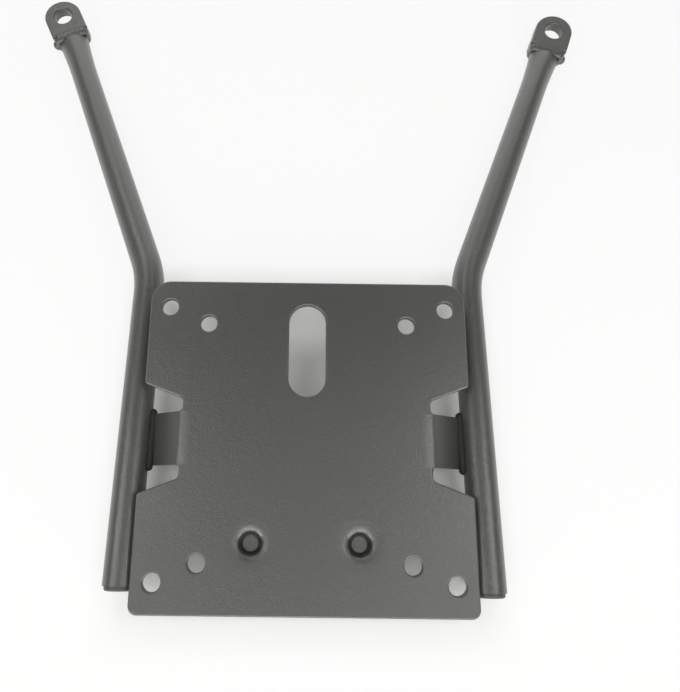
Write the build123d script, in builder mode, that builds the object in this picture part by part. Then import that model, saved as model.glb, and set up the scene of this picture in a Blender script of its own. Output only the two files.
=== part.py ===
from build123d import *
import os
from math import cos, radians, sin, sqrt, tan

# Motorcycle luggage rack: a folded sheet-steel carrier plate on two bent tubes. Each tube runs
# forward as a splayed arm and ends in a flat bolt-on lug. Millimetres, +Z up, +Y towards the arms.
# The origin is the centre of the plate's top face.

# Carrier plate
plate_width = 160.0
plate_length = 160.0
sheet = 3.0
front_corner_r = 10.0
rear_corner_r = 4.2
edge_round = 0.9

# Bolt holes, two rectangles of four, placed from the plate's edges
hole_d = 8.4
outer_from_side = 10.0
outer_from_end = 14.0
inner_from_side = 30.0
inner_from_end = 22.5

# Long slot near the front edge
slot_width = 18.5
slot_length = 47.0
slot_from_front = 12.2

# Two cups pressed into the plate near the rear edge
cup_pitch = 51.0
cup_from_rear = 31.5
cup_rim_d = 11.2
cup_floor_d = 7.4
cup_depth = 4.0
cup_wall = 2.0
cup_lip_r = 5.0

# Side wings, folded down to the tubes between two flared notches. The fold draws the plate down
# a little before the notches' roots, in a shallow dip.
wing_width = 25.7
wing_inset = 19.3
wing_angle = 38.0
wing_bend_r = 2.0
wing_dip_run = 4.2
wing_dip_angle = 10.0
wing_root_r = 1.8
notch_gap = 6.3
notch_flare = 7.3
notch_corner_r = 3.0
notch_mouth_r = 1.8

# Tubes, parallel under the plate's sides and then splayed outwards as arms
tube_d = 16.0
tube_wall = 1.8
tube_out = 6.4
tube_slope = 3.8
left_rear_inset = 11.6
right_rear_inset = 10.6
bend_ahead = 9.8
bend_r = 55.0
arm_splay = 22.2
arm_dip = 9.0
left_arm = 195.4
right_arm = 186.3

# Pressed front end of each arm, wider than the round tube
press_length = 40.0
press_spread = 4.0
press_steps = 3

# Lugs with a deep heel, welded across the pressed ends and both turned a little to the left
lug_width = 23.7
lug_thick = 6.5
lug_reach = 13.0
lug_hole_d = 11.8
lug_turn = 3.0
lug_edge_round = 0.8
heel_thick = 6.5
heel_over = 1.6
heel_under = 1.3
heel_corner_r = 5.0

# Plastic plugs in the rear tube ends
plug_head_d = 14.2
plug_head_h = 2.2
plug_head_r = 1.1
plug_stem = 12.0
plug_core_gap = 0.9
plug_ribs = 3
plug_rib_h = 1.5

# Weld beads
wing_bead_r = 2.2
wing_bead_rise = 0.4
wing_bead_past = 0.6
lug_bead = 1.2
lug_bead_run = 2.4
lug_bead_toe = 0.15
lug_lump_r = 3.0
lug_lump_in = 1.2
lug_lump_behind = 1.2

# Clearances between pieces
edge_clear = 0.3
wing_clear = 0.25
plug_clear = 0.1
bead_clear = 0.02

LEFT = -1
RIGHT = 1
tube_r = tube_d / 2
bore_r = tube_r - tube_wall
press_half = tube_r + press_spread / 2
press_rise = sqrt(2 * tube_r**2 - press_half**2)

outer_pitch_x = plate_width - 2 * outer_from_side
outer_pitch_y = plate_length - 2 * outer_from_end
inner_pitch_x = plate_width - 2 * inner_from_side
inner_pitch_y = plate_length - 2 * inner_from_end
slot_y = plate_length / 2 - slot_from_front - slot_length / 2
cup_y = cup_from_rear - plate_length / 2

# The tube axis passes outside the plate's edge, close under it at the rearmost tube end
tube_x = plate_width / 2 + tube_out
rear_y = min(left_rear_inset, right_rear_inset) - plate_length / 2
rear_z = -sheet - edge_clear - sqrt(max(tube_r**2 - tube_out**2, 0))
tube_dir = Vector(0, cos(radians(tube_slope)), -sin(radians(tube_slope)))
bend_y = plate_length / 2 + bend_ahead


def axis_z(y):
    """Height of the straight tube's axis at one place along the plate."""
    return rear_z - (y - rear_y) * tan(radians(tube_slope))


# Wing section: a shallow dip up to the notches' roots, a tight bend, then a flat that stops short
# of the tube's flank
wing_root_x = plate_width / 2 - wing_inset
wing_dip_x = wing_root_x - wing_dip_run
wing_dip = radians(wing_dip_angle)
wing_dip_r = wing_dip_run / sin(wing_dip)
wing_slope = radians(wing_angle)
bend_top_r = wing_bend_r + sheet
flat_x = wing_root_x + bend_top_r * (sin(wing_slope) - sin(wing_dip))
flat_z = -wing_dip_r * (1 - cos(wing_dip)) - bend_top_r * (cos(wing_dip) - cos(wing_slope))


def flat_to_tube(y):
    """Length of the wing's upper face from its bend to the tube's flank, at one place along it."""
    across, down = tube_x - flat_x, flat_z - axis_z(y)
    along = across * cos(wing_slope) + down * sin(wing_slope)
    above = across * sin(wing_slope) - down * cos(wing_slope)
    return along - sqrt(max(tube_r**2 - above**2, 0))


wing_flat = min(flat_to_tube(wing_width / 2), flat_to_tube(-wing_width / 2)) - wing_clear
wing_end_x = flat_x + wing_flat * cos(wing_slope)
wing_end_z = flat_z - wing_flat * sin(wing_slope)


class Arm:
    """Places along one tube: its bend, its pressed end and the way its lug faces."""

    def __init__(self, side, reach, rear_inset):
        dip = radians(arm_dip)
        plan = Vector(0, 1, 0).rotate(Axis.Z, -side * arm_splay)
        self.dir = plan * cos(dip) - Vector(0, 0, sin(dip))
        self.ahead = plan.rotate(Axis.Z, lug_turn)
        self.across = self.ahead.rotate(Axis.Z, -90)
        end_y = rear_inset - plate_length / 2
        self.rear = Vector(side * tube_x, end_y, axis_z(end_y))
        self.corner = Vector(side * tube_x, bend_y, axis_z(bend_y))
        self.end = self.corner + self.dir * (reach / cos(dip))
        self.press_start = self.end - self.dir * press_length
        tangent = bend_r * tan(radians(tube_dir.get_angle(self.dir)) / 2)
        self.bend_from = self.corner - tube_dir * tangent
        self.bend_to = self.corner + self.dir * tangent
        self.lug_top = self.end.Z + press_rise + heel_over
        self.heel_depth = heel_over + 2 * press_rise + heel_under


def tube_body(arm, inset):
    """The solid inside a bent tube's outer wall, drawn in by inset all round."""
    with BuildPart() as body:
        with BuildLine() as route:
            Line(arm.rear, arm.bend_from)
            TangentArc(arm.bend_from, arm.bend_to, tangent=tube_dir)
            Line(arm.bend_to, arm.press_start)
        with BuildSketch(Plane(arm.rear, x_dir=(1, 0, 0), z_dir=tube_dir)):
            Circle(tube_r - inset)
        sweep(path=route.wire())
        with BuildSketch(Plane(arm.press_start, x_dir=arm.across, z_dir=arm.dir)):
            Circle(tube_r - inset)
        for step in range(1, press_steps + 1):
            share = step / press_steps
            half = tube_r + press_spread / 2 * share**2
            rise = sqrt(2 * tube_r**2 - half**2)
            centre = arm.press_start + arm.dir * press_length * share
            facing = arm.ahead if step == press_steps else arm.dir
            with BuildSketch(Plane(centre, x_dir=arm.across, z_dir=facing)):
                Ellipse(half - inset, rise - inset)
        loft()
    return body.part


def make_tube(arm):
    """One hollow bent tube with its pressed front end."""
    with BuildPart() as tube:
        add(tube_body(arm, 0))
        add(tube_body(arm, tube_wall), mode=Mode.SUBTRACT)
    return tube


def make_lug(arm):
    """A round-ended eye with a deep heel that closes the arm's pressed end."""
    top = Plane((arm.end.X, arm.end.Y, arm.lug_top), x_dir=arm.ahead, z_dir=(0, 0, 1))
    with BuildPart() as lug:
        with BuildSketch(top):
            with Locations((lug_reach / 2, 0)):
                Rectangle(lug_reach, lug_width)
            with Locations((lug_reach, 0)):
                Circle(lug_width / 2)
                Circle(lug_hole_d / 2, mode=Mode.SUBTRACT)
        extrude(amount=-lug_thick)
        with BuildSketch(top):
            with Locations((heel_thick / 2, 0)):
                Rectangle(heel_thick, lug_width)
        extrude(amount=-arm.heel_depth)
        heel_corners = lug.edges().filter_by(Axis(arm.end, arm.ahead)).sort_by(Axis.Z)[:2]
        fillet(heel_corners, heel_corner_r)
        fillet(lug.faces().sort_by(Axis.Z)[-1].edges(), lug_edge_round)
    return lug


def make_lug_weld(arm, side, lug):
    """The fillet bead round the pressed tube end, against the heel, with a lump on its outer side."""
    heel_face = Plane(arm.end, x_dir=arm.across, z_dir=-arm.ahead)
    lump_out = side * (lug_width / 2 - lug_lump_in)
    with BuildPart() as weld:
        with BuildSketch(heel_face):
            Ellipse(press_half + lug_bead, press_rise + lug_bead)
        with BuildSketch(heel_face.offset(lug_bead_run)):
            toe = heel_face.to_local_coords(arm.end - arm.dir * lug_bead_run)
            with Locations((toe.X, toe.Y)):
                Ellipse(press_half + lug_bead_toe, press_rise + lug_bead_toe)
        loft()
        with Locations(arm.end + arm.across * lump_out - arm.ahead * lug_lump_behind):
            Sphere(lug_lump_r)
        add(tube_body(arm, -bead_clear), mode=Mode.SUBTRACT)
        add(lug.part, mode=Mode.SUBTRACT)
    return weld


def make_wing_weld(arm, side, plate):
    """The bead in the corner between a wing's end and the tube's inner flank."""
    half = wing_width / 2 + wing_bead_past
    centre_z = wing_end_z + wing_bead_rise
    ends = [(side * wing_end_x, y, centre_z + axis_z(y) - axis_z(0)) for y in (-half, half)]
    with BuildPart() as weld:
        with BuildLine() as seam:
            Line(*ends)
        with BuildSketch(Plane(ends[0], x_dir=(1, 0, 0), z_dir=tube_dir)):
            Circle(wing_bead_r)
        sweep(path=seam.wire())
        with Locations(*ends):
            Sphere(wing_bead_r)
        add(plate, mode=Mode.SUBTRACT)
        add(tube_body(arm, -bead_clear), mode=Mode.SUBTRACT)
    return weld


def make_plug(arm):
    """A ribbed plastic insert whose low domed head covers the rear tube end."""
    mouth = Plane(arm.rear, x_dir=(1, 0, 0), z_dir=-tube_dir)
    rib_pitch = (plug_stem - plug_rib_h) / plug_ribs
    with BuildPart() as plug:
        with BuildSketch(mouth):
            Circle(plug_head_d / 2)
        extrude(amount=plug_head_h)
        outer_rim = plug.edges().filter_by(GeomType.CIRCLE).sort_by(Axis.Y)[0]
        fillet(outer_rim, plug_head_r)
        with BuildSketch(mouth):
            Circle(bore_r - plug_core_gap)
        extrude(amount=-plug_stem)
        for rib in range(1, plug_ribs + 1):
            with BuildSketch(mouth.offset(-rib * rib_pitch)):
                Circle(bore_r - plug_clear)
            extrude(amount=-plug_rib_h)
    return plug


# Carrier plate: the flat blank, open where the wings' dips begin, then the cups and the wings
mouth_half = wing_width / 2 + notch_gap + notch_flare
root_half = wing_width / 2 + notch_gap
cup_flare = (cup_rim_d - cup_floor_d) / 2 / cup_depth
cup_skin = cup_wall * sqrt(1 + cup_flare**2)
cup_places = [(-cup_pitch / 2, cup_y), (cup_pitch / 2, cup_y)]
with BuildPart() as carrier_plate:
    with BuildSketch(Plane.XY.offset(-sheet)) as blank:
        Rectangle(plate_width, plate_length)
        fillet(blank.vertices().group_by(Axis.Y)[-1], front_corner_r)
        fillet(blank.vertices().group_by(Axis.Y)[0], rear_corner_r)
        for side in (LEFT, RIGHT):
            edge, root, dip = side * plate_width / 2, side * wing_root_x, side * wing_dip_x
            with BuildLine():
                Polyline(
                    (edge, mouth_half),
                    (root, root_half),
                    (root, wing_width / 2),
                    (dip, wing_width / 2),
                    (dip, -wing_width / 2),
                    (root, -wing_width / 2),
                    (root, -root_half),
                    (edge, -mouth_half),
                    close=True,
                )
            make_face(mode=Mode.SUBTRACT)
        roots = blank.vertices().filter_by(lambda v: abs(abs(v.X) - wing_root_x) < wing_dip_run / 4)
        fillet(roots.filter_by(lambda v: abs(v.Y) > wing_width / 2 + notch_gap / 2), notch_corner_r)
        mouths = blank.vertices().filter_by(lambda v: abs(abs(v.Y) - mouth_half) < notch_flare / 4)
        fillet(mouths, notch_mouth_r)
        with GridLocations(outer_pitch_x, outer_pitch_y, 2, 2):
            Circle(hole_d / 2, mode=Mode.SUBTRACT)
        with GridLocations(inner_pitch_x, inner_pitch_y, 2, 2):
            Circle(hole_d / 2, mode=Mode.SUBTRACT)
        with Locations((0, slot_y)):
            SlotOverall(slot_length, slot_width, rotation=90, mode=Mode.SUBTRACT)
    extrude(amount=sheet)
    top_edges = carrier_plate.faces().sort_by(Axis.Z)[-1].edges()
    beside_wings = top_edges.filter_by(lambda e: abs(e.center().Y) > wing_width / 2 + notch_gap / 4)
    fillet(beside_wings, edge_round)
    with Locations(*[(x, y, -sheet) for x, y in cup_places]):
        Cone(
            cup_floor_d / 2 + cup_skin - cup_wall * cup_flare,
            cup_rim_d / 2 + cup_skin - sheet * cup_flare,
            cup_depth + cup_wall - sheet,
            align=(Align.CENTER, Align.CENTER, Align.MAX),
        )
    with Locations(*[(x, y, 0) for x, y in cup_places]):
        Cone(
            cup_floor_d / 2,
            cup_rim_d / 2,
            cup_depth,
            align=(Align.CENTER, Align.CENTER, Align.MAX),
            mode=Mode.SUBTRACT,
        )
    cup_lips = carrier_plate.edges().filter_by(GeomType.CIRCLE).group_by(Axis.Z)[-1]
    fillet(cup_lips.filter_by(lambda e: abs(e.radius - cup_rim_d / 2) < edge_round / 4), cup_lip_r)
    for side in (LEFT, RIGHT):
        fold_start = Vector(side * wing_dip_x, 0, -sheet / 2)
        fold_mouth = Plane(fold_start, x_dir=(0, 1, 0), z_dir=(side, 0, 0))
        with BuildLine(Plane(fold_start, x_dir=(side, 0, 0), z_dir=(0, -side, 0))) as fold:
            dip = JernArc((0, 0), (1, 0), wing_dip_r - sheet / 2, -wing_dip_angle)
            bend = JernArc(dip @ 1, dip % 1, wing_bend_r + sheet / 2, wing_dip_angle - wing_angle)
            PolarLine(bend @ 1, wing_flat, direction=bend % 1)
        with BuildSketch(fold_mouth):
            Rectangle(wing_width, sheet)
        sweep(path=fold.wire())
        # Rounded inner corners, where the bend leaves the notches' roots
        with BuildPart(mode=Mode.PRIVATE) as wing_root:
            with BuildSketch(fold_mouth):
                Rectangle(wing_width + 2 * wing_root_r, sheet)
            sweep(path=fold.wire())
            with BuildSketch():
                with Locations((side * (wing_root_x + wing_root_r / 2), 0)):
                    Rectangle(wing_root_r, wing_width + 2 * wing_root_r)
                with Locations((side * (wing_root_x + wing_root_r), 0)):
                    with GridLocations(0, wing_width + 2 * wing_root_r, 1, 2):
                        Circle(wing_root_r, mode=Mode.SUBTRACT)
            extrude(amount=-tube_d, mode=Mode.INTERSECT)
        add(wing_root)

left_side = Arm(LEFT, left_arm, left_rear_inset)
right_side = Arm(RIGHT, right_arm, right_rear_inset)
left_tube = make_tube(left_side)
right_tube = make_tube(right_side)
left_lug = make_lug(left_side)
right_lug = make_lug(right_side)
left_lug_weld = make_lug_weld(left_side, LEFT, left_lug)
right_lug_weld = make_lug_weld(right_side, RIGHT, right_lug)
left_wing_weld = make_wing_weld(left_side, LEFT, carrier_plate.part)
right_wing_weld = make_wing_weld(right_side, RIGHT, carrier_plate.part)
left_end_plug = make_plug(left_side)
right_end_plug = make_plug(right_side)

os.makedirs("parts", exist_ok=True)
carrier_plate.part.label = "carrier_plate"
left_tube.part.label = "left_tube"
right_tube.part.label = "right_tube"
left_lug.part.label = "left_lug"
right_lug.part.label = "right_lug"
left_lug_weld.part.label = "left_lug_weld"
right_lug_weld.part.label = "right_lug_weld"
left_wing_weld.part.label = "left_wing_weld"
right_wing_weld.part.label = "right_wing_weld"
left_end_plug.part.label = "left_end_plug"
right_end_plug.part.label = "right_end_plug"
export_step(carrier_plate.part, "parts/carrier_plate.step")
export_step(left_tube.part, "parts/left_tube.step")
export_step(right_tube.part, "parts/right_tube.step")
export_step(left_lug.part, "parts/left_lug.step")
export_step(right_lug.part, "parts/right_lug.step")
export_step(left_lug_weld.part, "parts/left_lug_weld.step")
export_step(right_lug_weld.part, "parts/right_lug_weld.step")
export_step(left_wing_weld.part, "parts/left_wing_weld.step")
export_step(right_wing_weld.part, "parts/right_wing_weld.step")
export_step(left_end_plug.part, "parts/left_end_plug.step")
export_step(right_end_plug.part, "parts/right_end_plug.step")
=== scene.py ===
import math

import bpy
from mathutils import Matrix, Quaternion, Vector


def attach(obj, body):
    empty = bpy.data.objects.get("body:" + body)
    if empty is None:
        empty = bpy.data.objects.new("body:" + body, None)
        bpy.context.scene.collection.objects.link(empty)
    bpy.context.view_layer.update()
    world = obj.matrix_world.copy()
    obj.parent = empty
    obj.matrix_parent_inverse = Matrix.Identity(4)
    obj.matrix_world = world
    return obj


# Motorcycle luggage rack in dark grey powder coat, laid on white paper and seen from above.
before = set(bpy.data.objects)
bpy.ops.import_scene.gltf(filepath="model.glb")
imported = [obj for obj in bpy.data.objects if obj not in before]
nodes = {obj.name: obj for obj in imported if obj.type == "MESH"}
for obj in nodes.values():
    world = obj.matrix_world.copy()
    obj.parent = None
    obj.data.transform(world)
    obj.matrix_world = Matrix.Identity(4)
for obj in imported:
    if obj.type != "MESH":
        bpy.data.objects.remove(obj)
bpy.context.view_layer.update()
MM = 0.001

# Camera that the photograph's own perspective gives: its turn is an axis times an angle in radians, and its
# lens is worked out from pixels of the frame's longer side
CAMERA_PLACE = Vector((-1.36, -28.17, 291.47)) * MM
CAMERA_TURN = Vector((0.24993, -0.00203, 0.01293))
FOCAL_PIXELS = 600.0
FRAME_PIXELS = 692.0
SENSOR = 36.0
SHIFT_PIXELS = 35.1
CLIP_START = 10 * MM

# Powder coat: the skin's pebbles, drawn coarser than the real 0.3 mm so that they show, then the slow
# orange peel of the melt, faint clouds from the cure and a few pale smudges from handling
COAT_GRAIN = 0.9 * MM
COAT_PEEL = 3.0 * MM
COAT_CLOUD = 28.0 * MM
COAT_SMUDGE = 24.0 * MM
GRAIN_NOISE = {"Scale": 1 / COAT_GRAIN, "Detail": 2.0, "Roughness": 0.6}
PEEL_NOISE = {"Scale": 1 / COAT_PEEL, "Detail": 2.0}
CLOUD_NOISE = {"Scale": 1 / COAT_CLOUD, "Detail": 3.0}
SMUDGE_NOISE = {"Scale": 1 / COAT_SMUDGE, "Detail": 4.0, "Roughness": 0.6}

# What those patterns give: flecks, a share of the cloud's and the smudges' colours, sheen and relief
COAT_FLECKS = ((0.32, "#151514"), (0.68, "#3a3a38"))
CLOUD_COLOUR = "#292927"
CLOUD_SHARE = {"From Min": 0.35, "From Max": 0.65, "To Max": 0.5}
SMUDGE_COLOUR = "#484844"
SMUDGE_SHARE = {"From Min": 0.68, "From Max": 0.8, "To Max": 0.25}
COAT_SHEEN = {"From Min": 0.3, "From Max": 0.7, "To Min": 0.52, "To Max": 0.58}
PEBBLE_RELIEF = {"Strength": 0.9, "Distance": 0.16 * MM}
PEEL_RELIEF = {"Strength": 0.6, "Distance": 0.16 * MM}

# Gloss of the coat. Its index of refraction is matched to the bright rims in the photograph and lies above
# the 1.5 of plain polyester.
COAT_IOR = 1.75
COAT_ROUGHNESS = 0.32
COAT_SHINE = 0.5
COAT_TINT = "#fefefb"

# Shallow dish that the press leaves round each cup: the right-hand cup's axis, and where the dish starts
# and ends, measured from that axis
CUP_PLACE = Vector((25.5, -48.5, 0.0)) * MM
DISH_RINGS = {"From Min": 7.0 * MM, "From Max": 12.5 * MM}
DISH_RELIEF = {"Strength": 1.0, "Distance": 0.22 * MM}

# Walls of the cups, with coat and shine turned down there as painted shade so that they show dark: the
# radius at the middle of a wall, how far to each side of it the coat is cut and where it is full again, and
# the share left on the wall
WALL_RING = 4.7 * MM
WALL_PAINTED_SHADE = {"From Min": 0.6 * MM, "From Max": 1.5 * MM, "To Min": 0.22}

# Moulded plug: the fine dents of its tool
PLUG_NOISE = {"Scale": 1 / (1.2 * MM), "Detail": 2.0}
PLUG_GREYS = ((0.3, "#444443"), (0.7, "#525251"))
PLUG_SHEEN = {"From Min": 0.3, "From Max": 0.7, "To Min": 0.44, "To Max": 0.52}
PLUG_RELIEF = {"Strength": 0.12, "Distance": 0.1 * MM}
PLUG_IOR = 1.51

# Coat in the corners beside the wings, over the ripples of the weld, its dark greys a painted shade for
# those shaded corners. Blender's wave texture turns through 20 radians in a unit of length.
BEAD_RIPPLE = 1.5 * MM
WAVE_RADIANS = 20
RIPPLE_WAVE = {"Scale": math.tau / (WAVE_RADIANS * BEAD_RIPPLE), "Distortion": 1.5, "Detail": 1.0}
RIPPLE_RELIEF = {"Strength": 0.6, "Distance": 0.12 * MM}
CORNER_NOISE = {"Scale": 1 / COAT_GRAIN, "Detail": 2.0}
CORNER_SHADE_GREYS = ((0.3, "#1a1a1a"), (0.7, "#2a2a29"))
CORNER_DRYNESS = {"From Min": 0.3, "From Max": 0.7, "To Min": 0.68, "To Max": 0.8}
CORNER_IOR = 1.5

# Weld metal that fills the step between a lug's heel and the pressed tube: its height and its run back
# along the tube, how far it stands inside the heel's outline, and the ripples along it
FILL_HEIGHT = 2.2 * MM
FILL_RUN = 4.6 * MM
FILL_INSET = 0.1 * MM
FILL_RIPPLE_DEPTH = 0.05 * MM
FILL_STEP = 0.2 * MM
FILL_SIDES = 32
FILL_SEEDS = {"left": 1.7, "right": 4.1}
RIPPLE_WANDER = 0.35
SEAM_STEPS = 144
SEAM_TOP_POWER = 12
SEAM_UNDER_POWER = 3.5

# Directions of the two lugs in plan, in degrees to the left of straight ahead
LUG_TURNS = {"left": 25.2, "right": -19.2}

# Paper on the table: half its side in metres, its lit colour, and the share of its white that isn't lit.
# That share is small in the plate's shade, which makes a square of painted shadow there, and grows from near
# the plate's outline outwards.
PAPER_HALF = 6.0
PAPER_COLOUR = "#f8f8f4"
PAPER_WHITE = "#ffffff"
PAPER_GLOW_PAST_PAINTED_SHADOW = {"From Min": 74 * MM, "From Max": 105 * MM, "To Min": 0.1, "To Max": 0.86}

# What of the rack rests on the paper: the last stretch of a tube, and the lowest point of a heel when the
# rack leans back by this slope
REAR_REST = 3.0 * MM
ARM_FALL = 0.12

# Soft boxes of the light tent: name, place and size in metres, way it faces, white level of its face
DOWN = Vector((0, 0, -1))
TO_REAR = Vector((0, -1, 0))
AT_RACK = Vector()
SOFT_BOXES = (
    ("rear_strip_left", (-0.13, -0.20, 0.42), (0.10, 0.16), DOWN, 1.3),
    ("rear_strip_right", (0.13, -0.20, 0.42), (0.10, 0.16), DOWN, 2.0),
    ("side_inner_left", (-0.265, 0.0, 0.42), (0.17, 0.24), DOWN, 1.8),
    ("side_outer_left", (-0.44, 0.0, 0.42), (0.16, 0.24), DOWN, 4.0),
    ("side_box_right", (0.34, 0.0, 0.42), (0.32, 0.24), DOWN, 2.6),
    ("middle_box", (0.0, 0.0, 0.42), (0.16, 0.24), DOWN, 0.6),
    ("bridge_box_left", (-0.27, 0.40, 0.46), (0.30, 0.12), DOWN, 1.3),
    ("bridge_box_right", (0.27, 0.40, 0.46), (0.30, 0.12), DOWN, 1.0),
    ("arm_box_left", (-0.28, 0.6, 0.5), (0.40, 0.30), DOWN, 2.05),
    ("arm_box_right", (0.28, 0.6, 0.5), (0.40, 0.30), DOWN, 1.06),
    ("arm_card_left", (-0.9, 0.45, 0.4), (0.7, 0.4), AT_RACK, 0.4),
    ("arm_card_right", (0.9, 0.45, 0.4), (0.7, 0.4), AT_RACK, 0.4),
    ("front_card", (0.0, 0.95, 0.28), (1.2, 0.5), TO_REAR, 1.0),
    ("rear_key_high", (0.0, -0.55, 0.62), (0.5, 0.2), AT_RACK, 3.6),
    ("rear_key_low", (0.0, -0.8, 0.45), (0.6, 0.25), AT_RACK, 4.4),
    ("corner_box_left", (-0.5, -0.55, 0.36), (0.22, 0.5), AT_RACK, 5.6),
    ("corner_box_right", (0.5, -0.55, 0.36), (0.22, 0.5), AT_RACK, 5.6),
)

# Room round the tent, from its horizon up, by the upward share of a direction
ROOM_SHADES = ((0.06, "#d4d4d2"), (0.3, "#2c2c2c"))


def linear(code):
    """An sRGB hex colour as linear red, green, blue and alpha, by the sRGB standard's own curve."""
    shares = [int(code[i : i + 2], 16) / 255 for i in (1, 3, 5)]
    return [s / 12.92 if s <= 0.04045 else ((s + 0.055) / 1.055) ** 2.4 for s in shares] + [1.0]


def add(tree, kind, inputs=None, stops=(), **settings):
    """Adds one node and gives its outputs. An input is a plain value or the socket that feeds it."""
    made = tree.nodes.new(kind)
    for name, value in settings.items():
        setattr(made, name, value)
    for key, value in (inputs or {}).items():
        if isinstance(value, bpy.types.NodeSocket):
            tree.links.new(value, made.inputs[key])
        else:
            made.inputs[key].default_value = value
    for i, (place, code) in enumerate(stops):
        made.color_ramp.elements[i].position = place
        made.color_ramp.elements[i].color = linear(code)
    return made.outputs


def new_material(name):
    """An empty node material and its tree."""
    material = bpy.data.materials.new(name)
    material.use_nodes = True
    material.node_tree.nodes.clear()
    return material, material.node_tree


def coat_skin(tree, place):
    """What the coat gives its shader: flecked colour, uneven sheen and a pebbled, slightly wavy surface."""
    grain = add(tree, "ShaderNodeTexNoise", {"Vector": place, **GRAIN_NOISE})["Fac"]
    peel = add(tree, "ShaderNodeTexNoise", {"Vector": place, **PEEL_NOISE})["Fac"]
    cloud = add(tree, "ShaderNodeTexNoise", {"Vector": place, **CLOUD_NOISE})["Fac"]
    smudge = add(tree, "ShaderNodeTexNoise", {"Vector": place, **SMUDGE_NOISE})["Fac"]
    flecks = add(tree, "ShaderNodeValToRGB", {"Fac": grain}, COAT_FLECKS)["Color"]
    cured = add(tree, "ShaderNodeMapRange", {"Value": cloud, **CLOUD_SHARE})["Result"]
    clouded = add(
        tree,
        "ShaderNodeMix",
        {"Factor": cured, "A": flecks, "B": linear(CLOUD_COLOUR)},
        data_type="RGBA",
    )["Result"]
    touched = add(tree, "ShaderNodeMapRange", {"Value": smudge, **SMUDGE_SHARE})["Result"]
    colour = add(
        tree,
        "ShaderNodeMix",
        {"Factor": touched, "A": clouded, "B": linear(SMUDGE_COLOUR)},
        data_type="RGBA",
    )["Result"]
    sheen = add(tree, "ShaderNodeMapRange", {"Value": cloud, **COAT_SHEEN})["Result"]
    pebbled = add(tree, "ShaderNodeBump", {"Height": grain, **PEBBLE_RELIEF})["Normal"]
    peeled = add(tree, "ShaderNodeBump", {"Height": peel, "Normal": pebbled, **PEEL_RELIEF})["Normal"]
    return {
        "Base Color": colour,
        "Roughness": sheen,
        "Normal": peeled,
        "IOR": COAT_IOR,
        "Specular IOR Level": COAT_SHINE,
        "Specular Tint": linear(COAT_TINT),
        "Coat Weight": 1.0,
        "Coat IOR": COAT_IOR,
        "Coat Roughness": COAT_ROUGHNESS,
        "Coat Tint": linear(COAT_TINT),
        "Coat Normal": peeled,
    }


def powder_coat():
    """Baked polyester powder on steel: dark warm grey, a fine pebbled skin and a soft satin sheen."""
    material, tree = new_material("powder_coat_dark_grey")
    place = add(tree, "ShaderNodeTexCoord")["Object"]
    skin = add(tree, "ShaderNodeBsdfPrincipled", coat_skin(tree, place))["BSDF"]
    add(tree, "ShaderNodeOutputMaterial", {"Surface": skin})
    return material


def cup_distance(tree, place):
    """How far a point lies, in plan, from the axis of the nearer of the two pressed cups."""
    apart = add(tree, "ShaderNodeSeparateXYZ", {"Vector": place})
    aside = add(tree, "ShaderNodeMath", {0: apart["X"]}, operation="ABSOLUTE")["Value"]
    flat = add(tree, "ShaderNodeCombineXYZ", {"X": aside, "Y": apart["Y"]})["Vector"]
    return add(tree, "ShaderNodeVectorMath", {0: flat, 1: CUP_PLACE}, operation="DISTANCE")["Value"]


def pressed_plate_coat():
    """The same powder on the plate: a soft gleam in the dish round each cup, and cup walls with their gloss
    cut as painted shade.
    """
    material, tree = new_material("powder_coat_on_pressed_plate")
    place = add(tree, "ShaderNodeTexCoord")["Object"]
    sockets = coat_skin(tree, place)
    from_cup = cup_distance(tree, place)
    dish = add(
        tree,
        "ShaderNodeMapRange",
        {"Value": from_cup, **DISH_RINGS},
        interpolation_type="SMOOTHSTEP",
    )["Result"]
    dished = add(
        tree,
        "ShaderNodeBump",
        {"Height": dish, "Normal": sockets["Normal"], **DISH_RELIEF},
    )["Normal"]
    # Painted shade: coat weight and shine fall on the cup walls so that the walls show dark
    off_wall = add(tree, "ShaderNodeMath", {0: from_cup, 1: WALL_RING}, operation="SUBTRACT")["Value"]
    beside = add(tree, "ShaderNodeMath", {0: off_wall}, operation="ABSOLUTE")["Value"]
    gloss_outside_painted_shade = add(
        tree,
        "ShaderNodeMapRange",
        {"Value": beside, **WALL_PAINTED_SHADE},
        interpolation_type="SMOOTHSTEP",
    )["Result"]
    shine = add(tree, "ShaderNodeMath", {0: gloss_outside_painted_shade, 1: COAT_SHINE}, operation="MULTIPLY")["Value"]
    sockets["Normal"] = dished
    sockets["Coat Normal"] = dished
    sockets["Coat Weight"] = gloss_outside_painted_shade
    sockets["Specular IOR Level"] = shine
    skin = add(tree, "ShaderNodeBsdfPrincipled", sockets)["BSDF"]
    add(tree, "ShaderNodeOutputMaterial", {"Surface": skin})
    return material


def corner_shade_coat():
    """Powder in the corner of a weld: dry, with dark greys painted as the corner's shade, and the weld's own
    ripples showing through.
    """
    material, tree = new_material("powder_coat_over_weld")
    place = add(tree, "ShaderNodeTexCoord")["Object"]
    grain = add(tree, "ShaderNodeTexNoise", {"Vector": place, **CORNER_NOISE})["Fac"]
    ripples = add(
        tree,
        "ShaderNodeTexWave",
        {"Vector": place, **RIPPLE_WAVE},
        bands_direction="Y",
    )["Fac"]
    # Painted shade: greys darker than the coat's stand in for the shade in the corner beside the wing
    colour = add(tree, "ShaderNodeValToRGB", {"Fac": grain}, CORNER_SHADE_GREYS)["Color"]
    dryness = add(tree, "ShaderNodeMapRange", {"Value": grain, **CORNER_DRYNESS})["Result"]
    rippled = add(tree, "ShaderNodeBump", {"Height": ripples, **RIPPLE_RELIEF})["Normal"]
    skin = add(
        tree,
        "ShaderNodeBsdfPrincipled",
        {"Base Color": colour, "Roughness": dryness, "Normal": rippled, "IOR": CORNER_IOR},
    )["BSDF"]
    add(tree, "ShaderNodeOutputMaterial", {"Surface": skin})
    return material


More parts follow.
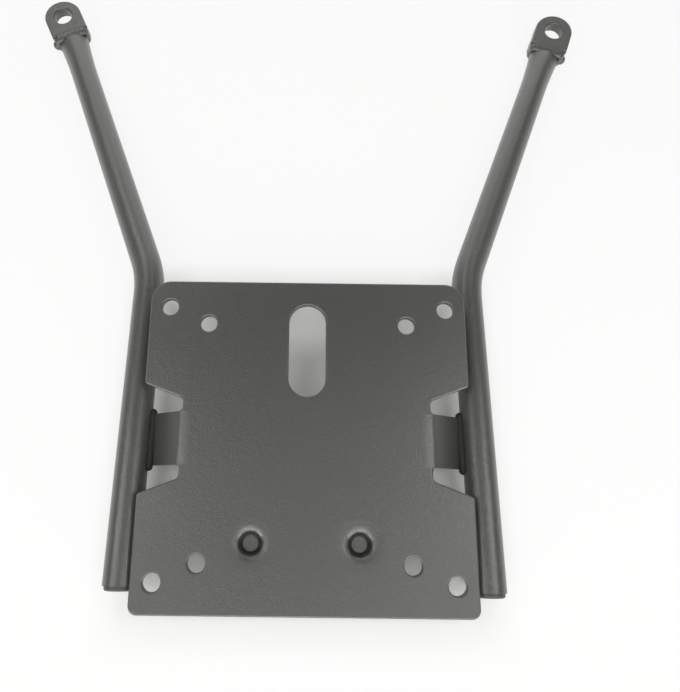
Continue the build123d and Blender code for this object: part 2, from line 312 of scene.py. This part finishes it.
def plug_plastic():
    """Moulded black polyethylene, greyed by weather: a waxy, nearly smooth skin with a broad soft shine."""
    material, tree = new_material("moulded_black_polyethylene")
    place = add(tree, "ShaderNodeTexCoord")["Object"]
    dents = add(tree, "ShaderNodeTexNoise", {"Vector": place, **PLUG_NOISE})["Fac"]
    dented = add(tree, "ShaderNodeBump", {"Height": dents, **PLUG_RELIEF})["Normal"]
    colour = add(tree, "ShaderNodeValToRGB", {"Fac": dents}, PLUG_GREYS)["Color"]
    sheen = add(tree, "ShaderNodeMapRange", {"Value": dents, **PLUG_SHEEN})["Result"]
    skin = add(
        tree,
        "ShaderNodeBsdfPrincipled",
        {"Base Color": colour, "Roughness": sheen, "Normal": dented, "IOR": PLUG_IOR},
    )["BSDF"]
    add(tree, "ShaderNodeOutputMaterial", {"Surface": skin})
    return material


def table_paper():
    """Matt white photo paper: lit and shaded under the plate, where its own white is cut to a square of
    painted shadow, and mostly white by itself beyond it.
    """
    material, tree = new_material("matt_white_paper")
    ray = add(tree, "ShaderNodeLightPath")
    seen = add(tree, "ShaderNodeMath", {0: ray["Is Camera Ray"], 1: ray["Is Glossy Ray"]})["Value"]
    shown = add(tree, "ShaderNodeMath", {0: seen, 1: ray["Is Transmission Ray"]}, use_clamp=True)["Value"]
    place = add(tree, "ShaderNodeTexCoord")["Object"]
    apart = add(tree, "ShaderNodeSeparateXYZ", {"Vector": place})
    aside = add(tree, "ShaderNodeMath", {0: apart["X"]}, operation="ABSOLUTE")["Value"]
    along = add(tree, "ShaderNodeMath", {0: apart["Y"]}, operation="ABSOLUTE")["Value"]
    away = add(tree, "ShaderNodeMath", {0: aside, 1: along}, operation="MAXIMUM")["Value"]
    # Painted shadow: the paper's own white is small inside a square round the plate and full beyond it
    glow_past_painted_shadow = add(tree, "ShaderNodeMapRange", {"Value": away, **PAPER_GLOW_PAST_PAINTED_SHADOW})["Result"]
    share = add(tree, "ShaderNodeMath", {0: shown, 1: glow_past_painted_shadow}, operation="MULTIPLY")["Value"]
    matt = add(tree, "ShaderNodeBsdfDiffuse", {"Color": linear(PAPER_COLOUR)})["BSDF"]
    white = add(tree, "ShaderNodeEmission", {"Color": linear(PAPER_WHITE), "Strength": 1.0})["Emission"]
    paper = add(tree, "ShaderNodeMixShader", {0: share, 1: matt, 2: white})["Shader"]
    add(tree, "ShaderNodeOutputMaterial", {"Surface": paper})
    return material


def bead_tree():
    """Geometry nodes that sweep a rippled oval bead round the object's own line."""
    tree = bpy.data.node_groups.new("weld_bead", "GeometryNodeTree")
    face = tree.interface
    face.new_socket("Geometry", in_out="INPUT", socket_type="NodeSocketGeometry")
    for name in ("Height", "Run", "Ripple depth", "Ripple spacing", "Step"):
        face.new_socket(name, in_out="INPUT", socket_type="NodeSocketFloat")
    face.new_socket("Sides", in_out="INPUT", socket_type="NodeSocketInt")
    face.new_socket("Seed", in_out="INPUT", socket_type="NodeSocketFloat")
    face.new_socket("Coat", in_out="INPUT", socket_type="NodeSocketMaterial")
    face.new_socket("Geometry", in_out="OUTPUT", socket_type="NodeSocketGeometry")
    given = add(tree, "NodeGroupInput")
    line = add(tree, "GeometryNodeMeshToCurve", {"Mesh": given["Geometry"]})["Curve"]
    steps = add(
        tree,
        "GeometryNodeResampleCurve",
        {"Curve": line, "Length": given["Step"]},
        mode="LENGTH",
    )["Curve"]
    along = add(tree, "GeometryNodeSplineParameter")["Length"]
    turns = add(tree, "ShaderNodeMath", {0: along, 1: given["Ripple spacing"]}, operation="DIVIDE")["Value"]
    wander = add(
        tree,
        "ShaderNodeTexNoise",
        {"W": given["Seed"], "Scale": RIPPLE_WANDER / BEAD_RIPPLE, "Detail": 1.0},
        noise_dimensions="4D",
    )["Fac"]
    drift = add(tree, "ShaderNodeMath", {0: turns, 1: wander}, operation="ADD")["Value"]
    angle = add(tree, "ShaderNodeMath", {0: drift, 1: math.tau}, operation="MULTIPLY")["Value"]
    wave = add(tree, "ShaderNodeMath", {0: angle}, operation="SINE")["Value"]
    swell = add(tree, "ShaderNodeMath", {0: wave, 1: wander}, operation="ADD")["Value"]
    rippled = add(
        tree,
        "ShaderNodeMath",
        {0: swell, 1: given["Ripple depth"], 2: given["Height"]},
        operation="MULTIPLY_ADD",
    )["Value"]
    stretch = add(tree, "ShaderNodeMath", {0: given["Run"], 1: given["Height"]}, operation="DIVIDE")["Value"]
    oval = add(tree, "ShaderNodeCombineXYZ", {"X": stretch, "Y": 1.0, "Z": 1.0})["Vector"]
    circle = add(
        tree,
        "GeometryNodeCurvePrimitiveCircle",
        {"Resolution": given["Sides"], "Radius": 1.0},
    )["Curve"]
    ring = add(tree, "GeometryNodeTransform", {"Geometry": circle, "Scale": oval})["Geometry"]
    swept = add(
        tree,
        "GeometryNodeCurveToMesh",
        {"Curve": steps, "Profile Curve": ring, "Scale": rippled},
    )["Mesh"]
    smooth = add(tree, "GeometryNodeSetShadeSmooth", {"Geometry": swept})["Geometry"]
    whole = add(tree, "GeometryNodeRealizeInstances", {"Geometry": smooth})["Geometry"]
    coated = add(tree, "GeometryNodeSetMaterial", {"Geometry": whole, "Material": given["Coat"]})["Geometry"]
    add(tree, "NodeGroupOutput", {"Geometry": coated})
    return tree


def heel_seam(name, ahead):
    """A closed line just inside the outline of a lug's heel, square above and rounder below."""
    across = Vector((ahead.y, -ahead.x, 0))
    lug = [v.co for v in nodes[name].data.vertices]
    wide = [p.dot(across) for p in lug]
    high = [p.z for p in lug]
    half_wide = (max(wide) - min(wide)) / 2 - FILL_HEIGHT - FILL_INSET
    half_high = (max(high) - min(high)) / 2 - FILL_HEIGHT - FILL_INSET
    middle = ahead * min(p.dot(ahead) for p in lug) + across * (max(wide) + min(wide)) / 2
    middle.z = (max(high) + min(high)) / 2
    seam = []
    for i in range(SEAM_STEPS):
        turn = math.tau * i / SEAM_STEPS
        share = 2 / (SEAM_TOP_POWER if math.cos(turn) > 0 else SEAM_UNDER_POWER)
        aside = math.copysign(abs(math.sin(turn)) ** share, math.sin(turn))
        above = math.copysign(abs(math.cos(turn)) ** share, math.cos(turn))
        seam.append(middle + across * half_wide * aside + Vector((0, 0, half_high * above)))
    return seam


def weld_fill(name, tree, seam, sizes):
    """A closed rippled bead along a seam, as a plain mesh beside the CAD weld."""
    line = bpy.data.meshes.new(name + "_line")
    line.from_pydata(seam, [(i - 1, i) for i in range(1, len(seam))] + [(len(seam) - 1, 0)], [])
    wire = bpy.data.objects.new(name + "_wire", line)
    bpy.context.scene.collection.objects.link(wire)
    bead = wire.modifiers.new("bead", "NODES")
    bead.node_group = tree
    for item in tree.interface.items_tree:
        if item.in_out == "INPUT" and item.name in sizes:
            bead[item.identifier] = sizes[item.name]
    ready = wire.evaluated_get(bpy.context.evaluated_depsgraph_get())
    piece = bpy.data.objects.new(name, bpy.data.meshes.new_from_object(ready))
    bpy.context.scene.collection.objects.link(piece)
    bpy.data.objects.remove(wire)
    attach(piece, "root")


def lay_paper():
    """A plane under the rear tube ends and both lugs' heels, so that the rack rests on it."""
    heels = []
    for side in ("left", "right"):
        corners = [v.co for v in nodes[side + "_lug"].data.vertices]
        heels.append(min(corners, key=lambda p: p.z - p.y * ARM_FALL))
    tube = [v.co for v in nodes["left_tube"].data.vertices]
    rear_y = min(p.y for p in tube) + REAR_REST
    toe = min((p for p in tube if p.y < rear_y), key=lambda p: p.z)
    contact = Vector((0, toe.y, toe.z))
    normal = (heels[1] - contact).cross(heels[0] - contact).normalized()
    tilt = Vector((0, 0, 1)).rotation_difference(normal)
    square = ((-1, -1), (1, -1), (1, 1), (-1, 1))
    corners = [contact + tilt @ (Vector((x, y, 0)) * PAPER_HALF) for x, y in square]
    sheet = bpy.data.meshes.new("paper")
    sheet.from_pydata(corners, [], [(0, 1, 2, 3)])
    sheet.materials.append(table_paper())
    paper = bpy.data.objects.new("paper", sheet)
    bpy.context.scene.collection.objects.link(paper)


def light_tent():
    """The soft boxes round the rack, in a dim room above a pale horizon."""
    for name, place, size, facing, level in SOFT_BOXES:
        lamp = bpy.data.lights.new(name, "AREA")
        lamp.shape = "RECTANGLE"
        lamp.size = size[0]
        lamp.size_y = size[1]
        lamp.energy = math.pi * size[0] * size[1] * level
        box = bpy.data.objects.new(name, lamp)
        box.location = place
        box.rotation_mode = "QUATERNION"
        aim = facing if facing.length else -box.location
        box.rotation_quaternion = aim.to_track_quat("-Z", "Y")
        box.visible_camera = False
        bpy.context.scene.collection.objects.link(box)
    world = bpy.data.worlds.new("studio_room")
    world.use_nodes = True
    room = world.node_tree
    room.nodes.clear()
    direction = add(room, "ShaderNodeTexCoord")["Generated"]
    upward = add(room, "ShaderNodeSeparateXYZ", {"Vector": direction})["Z"]
    shade = add(room, "ShaderNodeValToRGB", {"Fac": upward}, ROOM_SHADES)["Color"]
    air = add(room, "ShaderNodeBackground", {"Color": shade})["Background"]
    add(room, "ShaderNodeOutputWorld", {"Surface": air})
    bpy.context.scene.world = world


def set_camera():
    """The camera above the rack, tilted a little towards the arms, at the photograph's own place."""
    eye = bpy.data.cameras.new("camera")
    eye.sensor_width = SENSOR
    eye.lens = FOCAL_PIXELS / FRAME_PIXELS * SENSOR
    eye.shift_x = SHIFT_PIXELS / FRAME_PIXELS
    eye.clip_start = CLIP_START
    camera = bpy.data.objects.new("camera", eye)
    camera.location = CAMERA_PLACE
    camera.rotation_mode = "QUATERNION"
    camera.rotation_quaternion = Quaternion(CAMERA_TURN.normalized(), CAMERA_TURN.length)
    bpy.context.scene.collection.objects.link(camera)
    bpy.context.scene.camera = camera
    bpy.context.scene.view_settings.view_transform = "Standard"


coat = powder_coat()
corner_shade_weld_coat = corner_shade_coat()
plastic = plug_plastic()
finishes = {
    "carrier_plate": pressed_plate_coat(),
    # The wing welds take the corner coat with its painted shade
    "left_wing_weld": corner_shade_weld_coat,
    "right_wing_weld": corner_shade_weld_coat,
    "left_end_plug": plastic,
    "right_end_plug": plastic,
}
for name, part in nodes.items():
    part.data.materials.clear()
    part.data.materials.append(finishes.get(name, coat))

beads = bead_tree()
for side, turn in LUG_TURNS.items():
    ahead = Matrix.Rotation(math.radians(turn), 3, "Z") @ Vector((0, 1, 0))
    sizes = {
        "Height": FILL_HEIGHT,
        "Run": FILL_RUN,
        "Ripple depth": FILL_RIPPLE_DEPTH,
        "Ripple spacing": BEAD_RIPPLE,
        "Step": FILL_STEP,
        "Sides": FILL_SIDES,
        "Seed": FILL_SEEDS[side],
        "Coat": coat,
    }
    weld_fill(side + "_lug_weld_fill", beads, heel_seam(side + "_lug", ahead), sizes)

lay_paper()
light_tent()
set_camera()
